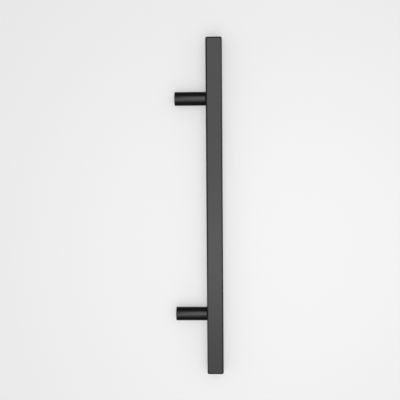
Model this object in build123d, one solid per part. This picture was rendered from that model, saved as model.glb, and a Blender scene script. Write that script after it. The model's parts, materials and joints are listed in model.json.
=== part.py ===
from build123d import *
import math
import os

# Door pull handle in millimetres: a square bar on two round posts.
# The door face is the plane Y = 0, the posts run towards -Y and the bar stands upright along Z.
# The origin lies on the door face, midway between the two fixing holes.

# Bar: square in section, with all its edges rounded
bar_length = 390.0
bar_side = 19.0
bar_edge_radius = 2.0
bar_front_wall = 5.0

# Posts: turned from round bar, one at each fixing point
fixing_centres = 250.0
post_diameter = 16.0
post_length = 36.0
post_chamfer = 0.5
post_web = 4.0

# M8 coarse thread of every tapped hole, drawn at its tapping drill size
thread_diameter = 8.0
thread_pitch = 1.25
drill_point_angle = 118.0
countersink_angle = 120.0
mouth_margin = 0.2

# Joining studs: headless screws with a hexagon socket, drawn at the core of their thread
stud_length = 20.0
stud_chamfer = 0.8
stud_end_gap = 2.0
stud_thread_clearance = 0.05
socket_across_flats = 4.0
socket_depth = 5.0

# Sizes that follow from those above
core_radius = (thread_diameter - thread_pitch) / 2
mouth_radius = thread_diameter / 2 + mouth_margin
drill_point = core_radius / math.tan(math.radians(drill_point_angle / 2))

bar_back = -post_length
bar_centre = bar_back - bar_side / 2
bar_hole_depth = bar_side - bar_front_wall - drill_point

stud_radius = core_radius - stud_thread_clearance
stud_in_bar = bar_hole_depth - stud_end_gap
stud_in_post = stud_length - stud_in_bar

post_radius = post_diameter / 2
head_hole_depth = stud_in_post + stud_end_gap
foot_hole_depth = post_length - post_web - head_hole_depth - 2 * drill_point

fixing_heights = {"upper": fixing_centres / 2, "lower": -fixing_centres / 2}


def facing(y, z, direction):
    """Plane at a post's axis whose normal points along +Y (1) or -Y (-1)."""
    return Plane(origin=(0, y, z), x_dir=(1, 0, 0), z_dir=(0, direction, 0))


def turned(outline):
    """Solid of revolution about Z from half its outline, as (radius, height) points."""
    points = [(radius, 0, height) for radius, height in outline]
    return revolve(make_face(Polyline(*points, close=True).edges()), Axis.Z)


def tapped_hole(depth):
    """Drilled hole below the XY plane, with a countersunk mouth and a drill point."""
    flare = math.tan(math.radians(countersink_angle / 2))
    overrun = mouth_margin
    return turned([
        (0, overrun),
        (mouth_radius + overrun * flare, overrun),
        (core_radius, -(mouth_radius - core_radius) / flare),
        (core_radius, -depth),
        (0, -depth - drill_point),
    ])


def make_bar():
    """Square bar with a tapped hole in its back face behind each post."""
    blank = Box(bar_side, bar_side, bar_length)
    bar = Pos(0, bar_centre, 0) * fillet(blank.edges(), bar_edge_radius)
    for height in fixing_heights.values():
        bar -= facing(bar_back, height, 1) * tapped_hole(bar_hole_depth)
    return bar


def make_post(height):
    """Round post with chamfered ends, tapped from the door and from the bar."""
    post = turned([
        (0, 0),
        (post_radius - post_chamfer, 0),
        (post_radius, post_chamfer),
        (post_radius, post_length - post_chamfer),
        (post_radius - post_chamfer, post_length),
        (0, post_length),
    ])
    post = facing(0, height, -1) * post
    post -= facing(0, height, 1) * tapped_hole(foot_hole_depth)
    post -= facing(bar_back, height, -1) * tapped_hole(head_hole_depth)
    return post


def make_stud(height):
    """Headless screw between bar and post, with its hexagon socket on the post's side."""
    stud = turned([
        (0, -stud_in_bar),
        (stud_radius - stud_chamfer, -stud_in_bar),
        (stud_radius, stud_chamfer - stud_in_bar),
        (stud_radius, stud_in_post - stud_chamfer),
        (stud_radius - stud_chamfer, stud_in_post),
        (0, stud_in_post),
    ])
    hexagon = RegularPolygon(socket_across_flats / 2, 6, major_radius=False)
    stud -= Pos(0, 0, stud_in_post) * extrude(hexagon, -socket_depth)
    return facing(bar_back, height, 1) * stud


pieces = {"pull_bar": make_bar()}
for place, height in fixing_heights.items():
    pieces[f"post_{place}"] = make_post(height)
    pieces[f"joining_stud_{place}"] = make_stud(height)

os.makedirs("parts", exist_ok=True)
for name, piece in pieces.items():
    export_step(piece, f"parts/{name}.step")
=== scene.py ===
"""Blender scene of a black square-bar door pull handle.

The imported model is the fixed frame: the door face is y = 0, the posts run from it towards -y and
the bar stands along z. Lengths are in metres. The bar and the joining studs keep their solids and
get their finishes. The two posts are turned again here, with real threads in their feet.
"""
import json
import logging
import math
from dataclasses import dataclass, field
from enum import Enum, IntEnum

import bmesh
import bpy
from mathutils import Matrix, Vector


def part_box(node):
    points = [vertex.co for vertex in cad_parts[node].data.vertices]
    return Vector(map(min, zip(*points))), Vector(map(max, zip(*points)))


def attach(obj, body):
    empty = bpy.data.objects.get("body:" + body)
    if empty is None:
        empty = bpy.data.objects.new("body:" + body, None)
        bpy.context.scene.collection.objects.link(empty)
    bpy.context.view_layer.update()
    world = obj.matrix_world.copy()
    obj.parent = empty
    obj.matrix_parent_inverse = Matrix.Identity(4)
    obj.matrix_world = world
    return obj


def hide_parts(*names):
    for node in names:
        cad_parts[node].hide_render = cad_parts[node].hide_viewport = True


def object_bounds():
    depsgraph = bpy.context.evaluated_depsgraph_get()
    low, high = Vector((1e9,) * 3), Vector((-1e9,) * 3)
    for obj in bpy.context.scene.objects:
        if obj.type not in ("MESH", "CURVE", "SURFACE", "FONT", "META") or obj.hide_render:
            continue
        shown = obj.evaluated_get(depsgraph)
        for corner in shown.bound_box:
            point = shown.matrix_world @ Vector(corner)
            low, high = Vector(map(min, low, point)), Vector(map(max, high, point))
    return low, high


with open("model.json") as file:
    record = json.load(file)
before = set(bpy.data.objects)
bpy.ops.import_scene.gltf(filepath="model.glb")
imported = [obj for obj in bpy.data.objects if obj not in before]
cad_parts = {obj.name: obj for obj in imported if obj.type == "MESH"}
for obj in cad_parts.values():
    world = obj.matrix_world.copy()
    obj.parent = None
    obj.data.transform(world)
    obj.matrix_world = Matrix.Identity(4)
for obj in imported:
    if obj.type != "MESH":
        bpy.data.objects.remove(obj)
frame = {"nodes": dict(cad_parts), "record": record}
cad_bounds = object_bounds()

MM = 0.001
BODY = "root"
AXIS_Y = Vector((0.0, 1.0, 0.0))
WHITE = (1.0, 1.0, 1.0, 1.0)

# Turn about the y axis that lays a disc or a lamp parallel to the floor
LEVEL = math.radians(-90.0)

# How close two places are to count as the same, two points to merge, and a point to lie on a cut
NEAR = 0.01 * MM
MERGE_DISTANCE = 0.001 * MM
CUT_DISTANCE = 0.0001 * MM

# Nearly all of a noise pattern lies between these heights
NOISE_RANGE = (0.3, 0.7)

Pair = tuple[float, float]
Triple = tuple[float, float, float]
Socket = bpy.types.NodeSocket

log = logging.getLogger("door_pull")


class Place(Enum):
    """The two ends of the handle that a post and its stud can belong to."""

    UPPER = "upper"
    LOWER = "lower"

    def node(self, piece: str) -> str:
        """Name of the piece of this kind at this end."""
        return f"{piece}_{self.value}"


class Slot(IntEnum):
    """The material slots of a post."""

    COAT = 0
    STEEL = 1


class Course(Enum):
    """How a value changes from one result to another."""

    EVEN = "LINEAR"
    SMOOTH = "SMOOTHSTEP"


def mount(name: str) -> dict:
    """Find one of the record's mounts.

    Args:
        name: The mount's name.

    Returns:
        The mount as the record gives it.
    """
    return next(m for m in frame["record"]["mounts"] if m["name"] == name)


def add_object(name: str, data: bpy.types.ID) -> bpy.types.Object:
    """Put a mesh, a lamp or a camera into the scene.

    Args:
        name: The object's name.
        data: What the object shows.

    Returns:
        The object, at the origin.
    """
    item = bpy.data.objects.new(name, data)
    bpy.context.scene.collection.objects.link(item)
    return item


def add_model(name: str, mesh: bmesh.types.BMesh) -> bpy.types.Object:
    """Put a finished bmesh into the scene and free it.

    Args:
        name: The object's name.
        mesh: The model, in its place.

    Returns:
        The object, at the origin.
    """
    data = bpy.data.meshes.new(name)
    mesh.to_mesh(data)
    mesh.free()
    return add_object(name, data)


@dataclass
class Shader:
    """A material's or world's node tree, with short calls to add and link nodes."""

    tree: bpy.types.NodeTree

    def add(self, kind: str, **settings: object) -> bpy.types.Node:
        """Add a node.

        Args:
            kind: Blender's type name, without its ShaderNode prefix.
            **settings: Values for the node's properties.

        Returns:
            The new node.
        """
        node = self.tree.nodes.new("ShaderNode" + kind)
        for name, value in settings.items():
            setattr(node, name, value)
        return node

    def link(self, source: Socket, target: Socket) -> None:
        """Join an output socket to an input socket."""
        self.tree.links.new(source, target)

    def feed(self, source: float | Socket, target: Socket) -> None:
        """Give an input socket its value.

        Args:
            source: A number, or the output socket to join.
            target: The input socket.
        """
        if isinstance(source, float):
            target.default_value = source
        else:
            self.link(source, target)

    def noise(self, position: Socket, size: float, detail: float) -> Socket:
        """Add a noise pattern.

        Args:
            position: Where the pattern is read.
            size: Rough width of one spot, in metres.
            detail: How many finer layers lie on top.

        Returns:
            The pattern's height, from 0 to 1.
        """
        pattern = self.add("TexNoise")
        pattern.inputs["Scale"].default_value = 1.0 / size
        pattern.inputs["Detail"].default_value = detail
        self.link(position, pattern.inputs["Vector"])
        return pattern.outputs["Fac"]

    def change(
        self,
        value: Socket,
        limits: Pair,
        results: Pair,
        course: Course = Course.SMOOTH,
    ) -> Socket:
        """Change from one result to another as a value passes between two limits.

        Args:
            value: The value.
            limits: Where the change begins and ends.
            results: The result before the change and after it.
            course: How the result changes between them.

        Returns:
            The result.
        """
        step = self.add("MapRange", interpolation_type=course.value)
        ends = ("From Min", "From Max", "To Min", "To Max")
        for end, number in zip(ends, (*limits, *results)):
            step.inputs[end].default_value = number
        self.link(value, step.inputs["Value"])
        return step.outputs["Result"]

    def spread(self, pattern: Socket, results: Pair) -> Socket:
        """Spread a noise pattern between two results.

        Args:
            pattern: The pattern's height.
            results: The result in its low spots and in its high ones.

        Returns:
            The spread pattern.
        """
        return self.change(pattern, NOISE_RANGE, results, Course.EVEN)

    def bump(self, height: Socket, depth: float, below: Socket | None = None) -> Socket:
        """Add relief to the surface.

        Args:
            height: The pattern of the relief.
            depth: Its depth, in metres.
            below: The normal of a relief that lies under this one.

        Returns:
            The normal of the surface with its relief.
        """
        relief = self.add("Bump")
        relief.inputs["Strength"].default_value = 1.0
        relief.inputs["Distance"].default_value = depth
        self.link(height, relief.inputs["Height"])
        if below is not None:
            self.link(below, relief.inputs["Normal"])
        return relief.outputs["Normal"]

    def choose(self, switch: Socket, off: Socket, on: Socket) -> Socket:
        """Choose between two shaders.

        Args:
            switch: 0 for the first shader and 1 for the second.
            off: The first shader.
            on: The second shader.

        Returns:
            The chosen shader.
        """
        choice = self.add("MixShader")
        for source, target in zip((switch, off, on), choice.inputs):
            self.link(source, target)
        return choice.outputs["Shader"]


def new_material(name: str) -> tuple[bpy.types.Material, Shader, bpy.types.Node]:
    """Make a material with only a surface shader and its output.

    Args:
        name: The material's name.

    Returns:
        The material, its node tree and its surface shader.
    """
    material = bpy.data.materials.new(name)
    material.use_nodes = True
    material.node_tree.nodes.clear()
    shader = Shader(material.node_tree)
    surface = shader.add("BsdfPrincipled")
    output = shader.add("OutputMaterial")
    shader.link(surface.outputs["BSDF"], output.inputs["Surface"])
    return material, shader, surface


@dataclass(frozen=True)
class PowderCoat:
    """Satin powder coat: a slow change of tone under a fine orange peel and a finer grain."""

    name: str = "black_powder_coat"
    dark: Triple = (0.0072, 0.0072, 0.0072)
    light: Triple = (0.0092, 0.0092, 0.0092)
    roughness: Pair = (0.25, 0.32)
    specular_level: float = 0.5
    cloud_size: float = 22.4 * MM
    peel_size: float = 1.6 * MM
    peel_depth: float = 0.012 * MM
    grain_size: float = 0.28 * MM
    grain_depth: float = 0.004 * MM

    def material(self) -> bpy.types.Material:
        """Build the coat's material.

        Returns:
            The material.
        """
        material, shader, surface = new_material(self.name)
        position = shader.add("TexCoord").outputs["Object"]
        cloud = shader.noise(position, self.cloud_size, detail=3.0)
        peel = shader.noise(position, self.peel_size, detail=1.0)
        grain = shader.noise(position, self.grain_size, detail=2.0)

        tint = shader.add("Mix", data_type="RGBA")
        tint.inputs["A"].default_value = (*self.dark, 1.0)
        tint.inputs["B"].default_value = (*self.light, 1.0)
        shader.link(shader.spread(cloud, (0.0, 1.0)), tint.inputs["Factor"])
        shader.link(tint.outputs["Result"], surface.inputs["Base Color"])
        shader.link(shader.spread(grain, self.roughness), surface.inputs["Roughness"])
        surface.inputs["Specular IOR Level"].default_value = self.specular_level

        waves = shader.bump(peel, self.peel_depth)
        shader.link(shader.bump(grain, self.grain_depth, waves), surface.inputs["Normal"])
        return material


@dataclass(frozen=True)
class MachinedSteel:
    """Bare steel left by a tap or a lathe, with fine rings about the y axis.

    The pattern is much wider across the axis than along it, which makes the rings.
    """

    name: str = "machined_steel"
    colour: Triple = (0.46, 0.455, 0.45)
    roughness: Pair = (0.26, 0.42)
    ring_size: float = 0.12 * MM
    ring_depth: float = 0.003 * MM
    ring_squeeze: Triple = (0.1, 1.0, 0.1)

    def material(self) -> bpy.types.Material:
        """Build the steel's material.

        Returns:
            The material.
        """
        material, shader, surface = new_material(self.name)
        squeeze = shader.add("Mapping")
        squeeze.inputs["Scale"].default_value = self.ring_squeeze
        shader.link(shader.add("TexCoord").outputs["Object"], squeeze.inputs["Vector"])
        rings = shader.noise(squeeze.outputs["Vector"], self.ring_size, detail=2.0)
        surface.inputs["Base Color"].default_value = (*self.colour, 1.0)
        surface.inputs["Metallic"].default_value = 1.0
        shader.link(shader.spread(rings, self.roughness), surface.inputs["Roughness"])
        shader.link(shader.bump(rings, self.ring_depth), surface.inputs["Normal"])
        return material


@dataclass
class FinishedSolid:
    """A solid that keeps its form from the frame and gets a finish."""

    node: str
    finish: bpy.types.Material

    def dress(self) -> None:
        """Put the finish on the whole solid."""
        materials = frame["nodes"][self.node].data.materials
        materials.clear()
        materials.append(self.finish)
        log.info("%s: finished with %s", self.node, self.finish.name)


@dataclass(frozen=True)
class MetricThread:
    """Internal M8 thread, cut outwards from a tapping drill hole."""

    core: float
    major: float = 4.0 * MM
    pitch: float = 1.25 * MM
    flank_angle: float = 30.0
    steps: int = 48

    @property
    def crest(self) -> float:
        """Length along the axis that stays flat between two grooves."""
        return self.pitch / 4.0

    @property
    def flank(self) -> float:
        """Length along the axis of one flank of the groove."""
        return (self.major - self.core) * math.tan(math.radians(self.flank_angle))

    def groove(self) -> list[Pair]:
        """Draw the outline of one pitch.

        Returns:
            Its (radius, distance along the axis) points, in order.
        """
        return [
            (self.core, 0.0),
            (self.core, self.crest),
            (self.major, self.crest + self.flank),
            (self.major, self.pitch - self.flank),
            (self.core, self.pitch),
        ]


@dataclass
class ThreadedPost:
    """One turned post, tapped from the door and from the bar.

    Every place along the post is a y of the frame: the foot stands on the door face at y = 0
    and the head meets the back of the bar.
    """

    place: Place
    coat: bpy.types.Material
    steel: bpy.types.Material
    chamfer: float = 0.5 * MM
    mouth_margin: float = 0.2 * MM
    mouth_angle: float = 120.0
    drill_angle: float = 118.0
    stud_end_gap: float = 2.0 * MM
    thread_runout: float = 1.6 * MM
    edge_softness: float = 0.12 * MM
    edge_segments: int = 3
    sharp_angle: float = 25.0
    flat_end: float = 0.999
    turn_steps: int = 96
    low: Vector = field(init=False)
    high: Vector = field(init=False)
    thread: MetricThread = field(init=False)

    def __post_init__(self) -> None:
        """Read the post's box and the holes' radius from the frame."""
        self.low, self.high = map(Vector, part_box(self.place.node("post")))
        self.thread = MetricThread(core=self.foot_hole["r_mm"] * MM)

    @property
    def foot_hole(self) -> dict:
        """Sizes of the round wall of the hole from the door."""
        return mount(f"{self.place.value}_thread")["dims"]

    @property
    def centre(self) -> Vector:
        """The point on the door face that the post stands about."""
        middle = (self.low + self.high) / 2.0
        return Vector((middle.x, self.high.y, middle.z))

    @property
    def radius(self) -> float:
        """Radius of the post."""
        return (self.high.z - self.low.z) / 2.0

    @property
    def mouth(self) -> float:
        """Radius of a tapped hole's countersink at the surface."""
        return self.thread.major + self.mouth_margin

    @property
    def mouth_depth(self) -> float:
        """Depth of the countersink."""
        return (self.mouth - self.thread.core) / math.tan(math.radians(self.mouth_angle / 2.0))

    @property
    def drill_point(self) -> float:
        """Depth of the cone that the drill leaves at the bottom of a hole."""
        return self.thread.core / math.tan(math.radians(self.drill_angle / 2.0))

    @property
    def foot_hole_end(self) -> float:
        """Place where the round wall of the hole from the door ends."""
        return self.high.y - self.mouth_depth - self.foot_hole["length_mm"] * MM

    @property
    def head_hole_end(self) -> float:
        """Place where the round wall of the hole from the bar ends."""
        _, (_, stud_end, _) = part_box(self.place.node("joining_stud"))
        return stud_end + self.stud_end_gap

    def away(self, vertex: bmesh.types.BMVert) -> float:
        """Distance of a vertex from the post's axis."""
        return math.hypot(vertex.co.x - self.centre.x, vertex.co.z - self.centre.z)

    def draw(
        self,
        mesh: bmesh.types.BMesh,
        outline: list[Pair],
    ) -> list[bmesh.types.BMVert | bmesh.types.BMEdge]:
        """Draw half an outline beside the post's axis.

        Args:
            mesh: The mesh to add to.
            outline: The (radius, y) points of the outline, in order.

        Returns:
            The outline's points and edges.
        """
        centre = self.centre
        points = [mesh.verts.new((centre.x + radius, y, centre.z)) for radius, y in outline]
        return points + [mesh.edges.new(pair) for pair in zip(points, points[1:])]

    def turn(self, mesh: bmesh.types.BMesh, outline: list[Pair]) -> None:
        """Turn half an outline once about the post's axis.

        Args:
            mesh: The mesh to add to.
            outline: The (radius, y) points of the outline, in order.
        """
        bmesh.ops.spin(
            mesh,
            geom=self.draw(mesh, outline),
            cent=self.centre,
            axis=AXIS_Y,
            angle=math.tau,
            steps=self.turn_steps,
            use_merge=True,
        )
        bmesh.ops.remove_doubles(mesh, verts=mesh.verts, dist=MERGE_DISTANCE)

    def cut_thread(self, mesh: bmesh.types.BMesh, start: float, end: float) -> None:
        """Wind the thread's groove past two places and trim it flat at both.

        Args:
            mesh: The mesh to add to.
            start: The y of the thread's end at the mouth.
            end: The y of its other end.
        """
        # The groove starts a turn before one place and ends past the other, so both cuts are whole
        thread = self.thread
        turns = math.ceil((start - end) / thread.pitch) + 2
        top = start + thread.pitch
        bmesh.ops.spin(
            mesh,
            geom=self.draw(mesh, [(radius, top - along) for radius, along in thread.groove()]),
            cent=self.centre,
            axis=AXIS_Y,
            dvec=-AXIS_Y * thread.pitch / thread.steps,
            angle=math.tau * turns,
            steps=thread.steps * turns,
        )
        bmesh.ops.remove_doubles(mesh, verts=mesh.verts, dist=MERGE_DISTANCE)
        for y, outwards in ((start, AXIS_Y), (end, -AXIS_Y)):
            bmesh.ops.bisect_plane(
                mesh,
                geom=mesh.verts[:] + mesh.edges[:] + mesh.faces[:],
                dist=CUT_DISTANCE,
                plane_co=(0.0, y, 0.0),
                plane_no=outwards,
                clear_outer=True,
            )

    def bridge(self, mesh: bmesh.types.BMesh, low: float, high: float) -> None:
        """Close the gap between the two open circles that lie between two places.

        Args:
            mesh: The mesh to close.
            low: A y below both circles.
            high: A y above both circles.
        """
        gap = [
            edge
            for edge in mesh.edges
            if edge.is_boundary and all(low - NEAR <= v.co.y <= high + NEAR for v in edge.verts)
        ]
        bmesh.ops.bridge_loops(mesh, edges=gap)

    def finish_faces(self, mesh: bmesh.types.BMesh) -> None:
        """Leave the holes bare, coat the rest, and shade all but the flat ends as round.

        Args:
            mesh: The closed mesh.
        """
        for face in mesh.faces:
            in_hole = all(self.away(v) < self.mouth + NEAR for v in face.verts)
            face.material_index = Slot.STEEL if in_hole else Slot.COAT
            face.smooth = abs(face.normal.dot(AXIS_Y)) < self.flat_end

    def rim(self, mesh: bmesh.types.BMesh, radius: float, y: float) -> list[bmesh.types.BMEdge]:
        """Find the edges of one turned circle.

        Args:
            mesh: The mesh to search.
            radius: The circle's radius.
            y: The circle's place along the post.

        Returns:
            The circle's edges.
        """
        def on_circle(vertex: bmesh.types.BMVert) -> bool:
            """Tell whether a vertex lies on the circle."""
            return abs(vertex.co.y - y) < NEAR and abs(self.away(vertex) - radius) < NEAR

        return [edge for edge in mesh.edges if all(on_circle(v) for v in edge.verts)]

    def soften(self, mesh: bmesh.types.BMesh, circles: list[Pair]) -> None:
        """Break the edges of some turned circles, and mark the edges that stay sharp.

        Args:
            mesh: The mesh to change.
            circles: The (radius, y) of each circle.
        """
        bmesh.ops.bevel(
            mesh,
            geom=[edge for circle in circles for edge in self.rim(mesh, *circle)],
            offset=self.edge_softness,
            segments=self.edge_segments,
            profile=0.5,
            affect="EDGES",
            material=-1,
        )
        for edge in mesh.edges:
            edge.smooth = edge.calc_face_angle(0.0) < math.radians(self.sharp_angle)

    def build(self) -> bpy.types.Object:
        """Model the post as one closed mesh.

        Returns:
            The post's object, with its material slots still empty.
        """
        foot, head, core = self.high.y, self.low.y, self.thread.core
        thread_start = foot - self.mouth_depth
        thread_end = self.foot_hole_end + self.thread_runout
        wall_start = thread_end - self.thread.crest
        chamfers = [
            (self.radius - self.chamfer, foot),
            (self.radius, foot - self.chamfer),
            (self.radius, head + self.chamfer),
            (self.radius - self.chamfer, head),
        ]

        mesh = bmesh.new()
        self.cut_thread(mesh, thread_start, thread_end)
        self.turn(mesh, [
            (self.mouth, foot),
            *chamfers,
            (self.mouth, head),
            (core, head + self.mouth_depth),
            (core, self.head_hole_end),
            (0.0, self.head_hole_end + self.drill_point),
        ])
        self.turn(mesh, [
            (core, wall_start),
            (core, self.foot_hole_end),
            (0.0, self.foot_hole_end - self.drill_point),
        ])

        # The countersink joins the foot to the thread, and the run-out the thread to the wall
        self.bridge(mesh, thread_start, foot)
        self.bridge(mesh, wall_start, thread_end)
        bmesh.ops.recalc_face_normals(mesh, faces=mesh.faces)
        self.finish_faces(mesh)
        self.soften(mesh, chamfers)
        return add_model(self.place.node("turned_post"), mesh)

    def dress(self, piece: bpy.types.Object) -> None:
        """Coat the post, leave its thread bare and let it stand for its solid.

        Args:
            piece: The post's object.
        """
        piece.data.materials.append(self.coat)
        piece.data.materials.append(self.steel)
        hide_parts(self.place.node("post"))
        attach(piece, BODY)
        log.info("%s: %d faces", piece.name, len(piece.data.polygons))


@dataclass
class Floor:
    """Pale surface that the handle lies on, seen only from the handle's side.

    A part of its tone is its own light, so that shadows on it stay pale. That part falls off
    slowly round its brightest place. The surface fades out where it is seen almost edge on.
    """

    x: float
    centre: Vector
    colour: float = 0.50
    own_light: Pair = (0.430, 0.348)
    brightest: Pair = (-0.114, -0.035)
    falloff: Pair = (0.0, 0.43)
    solid_radius: float = 0.36
    faded_radius: float = 0.50
    edge_on: Pair = (-0.30, -0.12)
    sides: int = 96

    def build(self) -> None:
        """Model the floor as a disc that only the camera sees."""
        mesh = bmesh.new()
        bmesh.ops.create_circle(
            mesh,
            cap_ends=True,
            segments=self.sides,
            radius=self.faded_radius,
            matrix=Matrix.Translation(Vector((self.x, self.centre.y, self.centre.z)))
            @ Matrix.Rotation(LEVEL, 4, "Y"),
        )
        disc = add_model("pale_floor", mesh)
        disc.data.materials.append(self.material())
        disc.visible_diffuse = False
        disc.visible_glossy = False
        disc.visible_transmission = False
        disc.visible_shadow = False

    def fade(self, shader: Shader, middle: Pair, radii: Pair, values: Pair) -> Socket:
        """Let a value change smoothly with the distance from a place on the floor.

        Args:
            shader: The floor's node tree.
            middle: The place, as y and z.
            radii: Where the change begins and ends.
            values: The value inside and outside.

        Returns:
            The value.
        """
        away = shader.add("VectorMath", operation="DISTANCE")
        away.inputs[1].default_value = (self.x, *middle)
        shader.link(shader.add("TexCoord").outputs["Object"], away.inputs[0])
        return shader.change(away.outputs["Value"], radii, values)

    def material(self) -> bpy.types.Material:
        """Build the floor's plain pale finish, which fades out at its edge and has no back.

        Returns:
            The material.
        """
        material, shader, surface = new_material("pale_floor")
        surface.inputs["Base Color"].default_value = (self.colour,) * 3 + (1.0,)
        surface.inputs["Roughness"].default_value = 1.0
        surface.inputs["Specular IOR Level"].default_value = 0.0
        surface.inputs["Emission Color"].default_value = WHITE
        own_light = self.fade(shader, self.brightest, self.falloff, self.own_light)
        shader.link(own_light, surface.inputs["Emission Strength"])

        middle = (self.centre.y, self.centre.z)
        solid = self.fade(shader, middle, (self.solid_radius, self.faded_radius), (1.0, 0.0))
        seen_from = shader.add("SeparateXYZ")
        shader.link(shader.add("NewGeometry").outputs["Incoming"], seen_from.inputs["Vector"])
        front = shader.change(seen_from.outputs["X"], self.edge_on, (1.0, 0.0))
        cover = shader.add("Math", operation="MULTIPLY")
        shader.link(solid, cover.inputs[0])
        shader.link(front, cover.inputs[1])
        shader.link(cover.outputs["Value"], surface.inputs["Alpha"])
        return material


@dataclass(frozen=True)
class SoftBox:
    """A studio lamp that hangs level over the handle, with its length along z."""

    name: str
    position: Triple
    length: float
    width: float
    radiance: float

    def build(self) -> None:
        """Hang the lamp with its face towards the floor."""
        lamp = bpy.data.lights.new(self.name, "AREA")
        lamp.shape = "RECTANGLE"
        lamp.size = self.length
        lamp.size_y = self.width
        lamp.energy = self.radiance * math.pi * self.length * self.width
        box = add_object(self.name, lamp)
        box.location = self.position
        box.rotation_euler = (0.0, LEVEL, 0.0)
        box.visible_camera = False


@dataclass(frozen=True)
class Room:
    """Soft light from all round, in front of a pale backdrop.

    Reflections show a room of dark cloth with two bright walls: one on the grip's side, over the
    handle's upper end, and one low on the door's side. Grey screens stand far out to the left
    and right of the handle, and a pale wall behind the floor. Each pair of limits gives the part
    of a direction where a change begins and where it is complete.
    """

    fill: float = 0.65
    backdrop: float = 0.86
    cloth: float = 0.03
    grip_wall: float = 1.36
    grip_above: Pair = (0.45, 0.69)
    grip_below: Pair = (0.09, -0.34)
    door_wall: float = 1.75
    door_start: Pair = (-0.09, -0.19)
    door_below: Pair = (-0.55, -0.65)
    door_side: Pair = (0.125, 0.225)
    screen: float = 0.35
    beside: Pair = (0.62, 0.80)
    back_wall: float = 1.0
    behind: Pair = (0.85, 1.0)
    behind_spread: float = 0.6

    def cover(
        self,
        shader: Shader,
        under: float | Socket,
        over: float | Socket,
        direction: Socket,
        limits: Pair,
    ) -> Socket:
        """Let one brightness cover another in a part of the room.

        Args:
            shader: The world's node tree.
            under: The brightness outside that part.
            over: The brightness inside it.
            direction: The part of the direction that tells them apart.
            limits: Where the cover begins and where it is full.

        Returns:
            The brightness.
        """
        layer = shader.add("Mix", data_type="FLOAT")
        shader.feed(under, layer.inputs["A"])
        shader.feed(over, layer.inputs["B"])
        shader.link(shader.change(direction, limits, (0.0, 1.0)), layer.inputs["Factor"])
        return layer.outputs["Result"]

    def reflections(self, shader: Shader) -> Socket:
        """Work out how bright a reflection is by its direction.

        Args:
            shader: The world's node tree.

        Returns:
            The brightness.
        """
        split = shader.add("SeparateXYZ")
        shader.link(shader.add("TexCoord").outputs["Generated"], split.inputs["Vector"])
        across, along = split.outputs["Y"], split.outputs["Z"]
        grip = self.cover(shader, self.grip_wall, self.cloth, along, self.grip_above)
        grip = self.cover(shader, grip, self.cloth, along, self.grip_below)
        door = self.cover(shader, self.cloth, self.door_wall, along, self.door_start)
        door = self.cover(shader, door, self.cloth, along, self.door_below)
        seen = self.cover(shader, grip, door, across, self.door_side)

        beside = shader.add("Math", operation="ABSOLUTE")
        shader.link(across, beside.inputs[0])
        seen = self.cover(shader, seen, self.screen, beside.outputs["Value"], self.beside)

        # The wall behind the floor reaches round towards both sides
        behind = shader.add("Math", operation="MULTIPLY_ADD")
        shader.link(beside.outputs["Value"], behind.inputs[0])
        shader.feed(self.behind_spread, behind.inputs[1])
        shader.link(split.outputs["X"], behind.inputs[2])
        return self.cover(shader, seen, self.back_wall, behind.outputs["Value"], self.behind)

    def background(self, shader: Shader, strength: float | Socket) -> Socket:
        """Add white light from all round.

        Args:
            shader: The world's node tree.
            strength: How strong it is.

        Returns:
            The light's shader.
        """
        light = shader.add("Background")
        light.inputs["Color"].default_value = WHITE
        shader.feed(strength, light.inputs["Strength"])
        return light.outputs["Background"]

    def build(self) -> None:
        """Make the world's light."""
        world = bpy.data.worlds.new("soft_room")
        bpy.context.scene.world = world
        world.use_nodes = True
        world.node_tree.nodes.clear()
        shader = Shader(world.node_tree)

        fill = self.background(shader, self.fill)
        backdrop = self.background(shader, self.backdrop)
        mirrored = self.background(shader, self.reflections(shader))
        ray = shader.add("LightPath").outputs
        light = shader.choose(ray["Is Glossy Ray"], fill, mirrored)
        light = shader.choose(ray["Is Transmission Ray"], light, backdrop)
        light = shader.choose(ray["Is Camera Ray"], light, backdrop)
        output = shader.add("OutputWorld")
        shader.link(light, output.inputs["Surface"])


@dataclass(frozen=True)
class Camera:
    """The photograph's view: from the handle's side, a little above its middle."""

    position: Triple = (-1.0, -0.0630, 0.0664)
    aim: Triple = (0.0, -0.0285, 0.0080)
    roll: float = 0.424
    lens: float = 77.64
    sensor: float = 36.0

    def build(self) -> None:
        """Make the camera and choose it for the scene."""
        camera = add_object("camera", bpy.data.cameras.new("camera"))
        camera.data.lens = self.lens
        camera.data.sensor_width = self.sensor
        forward = Vector(self.aim) - Vector(self.position)
        turn = forward.to_track_quat("-Z", "Y").to_matrix()
        roll = Matrix.Rotation(math.radians(-self.roll), 3, "Z")
        camera.matrix_world = Matrix.Translation(self.position) @ (turn @ roll).to_4x4()
        bpy.context.scene.camera = camera


def main() -> None:
    """Build the handle's finishes and pieces, and the studio round it."""
    logging.basicConfig(level=logging.INFO, format="%(name)s: %(message)s")
    coat = PowderCoat().material()
    steel = MachinedSteel().material()
    FinishedSolid("pull_bar", coat).dress()
    for place in Place:
        FinishedSolid(place.node("joining_stud"), steel).dress()
        post = ThreadedPost(place, coat, steel)
        post.dress(post.build())

    low, high = map(Vector, cad_bounds)
    Floor(x=high.x, centre=(low + high) / 2.0).build()
    for lamp in (
        SoftBox("broad_lamp", (-1.25, -0.20, -0.22), length=2.10, width=1.00, radiance=1.01),
        SoftBox("key_lamp", (-1.20, -0.05, -0.21), length=0.24, width=0.76, radiance=1.56),
    ):
        lamp.build()
    Room().build()
    Camera().build()
    bpy.context.scene.view_settings.view_transform = "Standard"
    log.info("scene built")


if __name__ == "__main__":
    main()
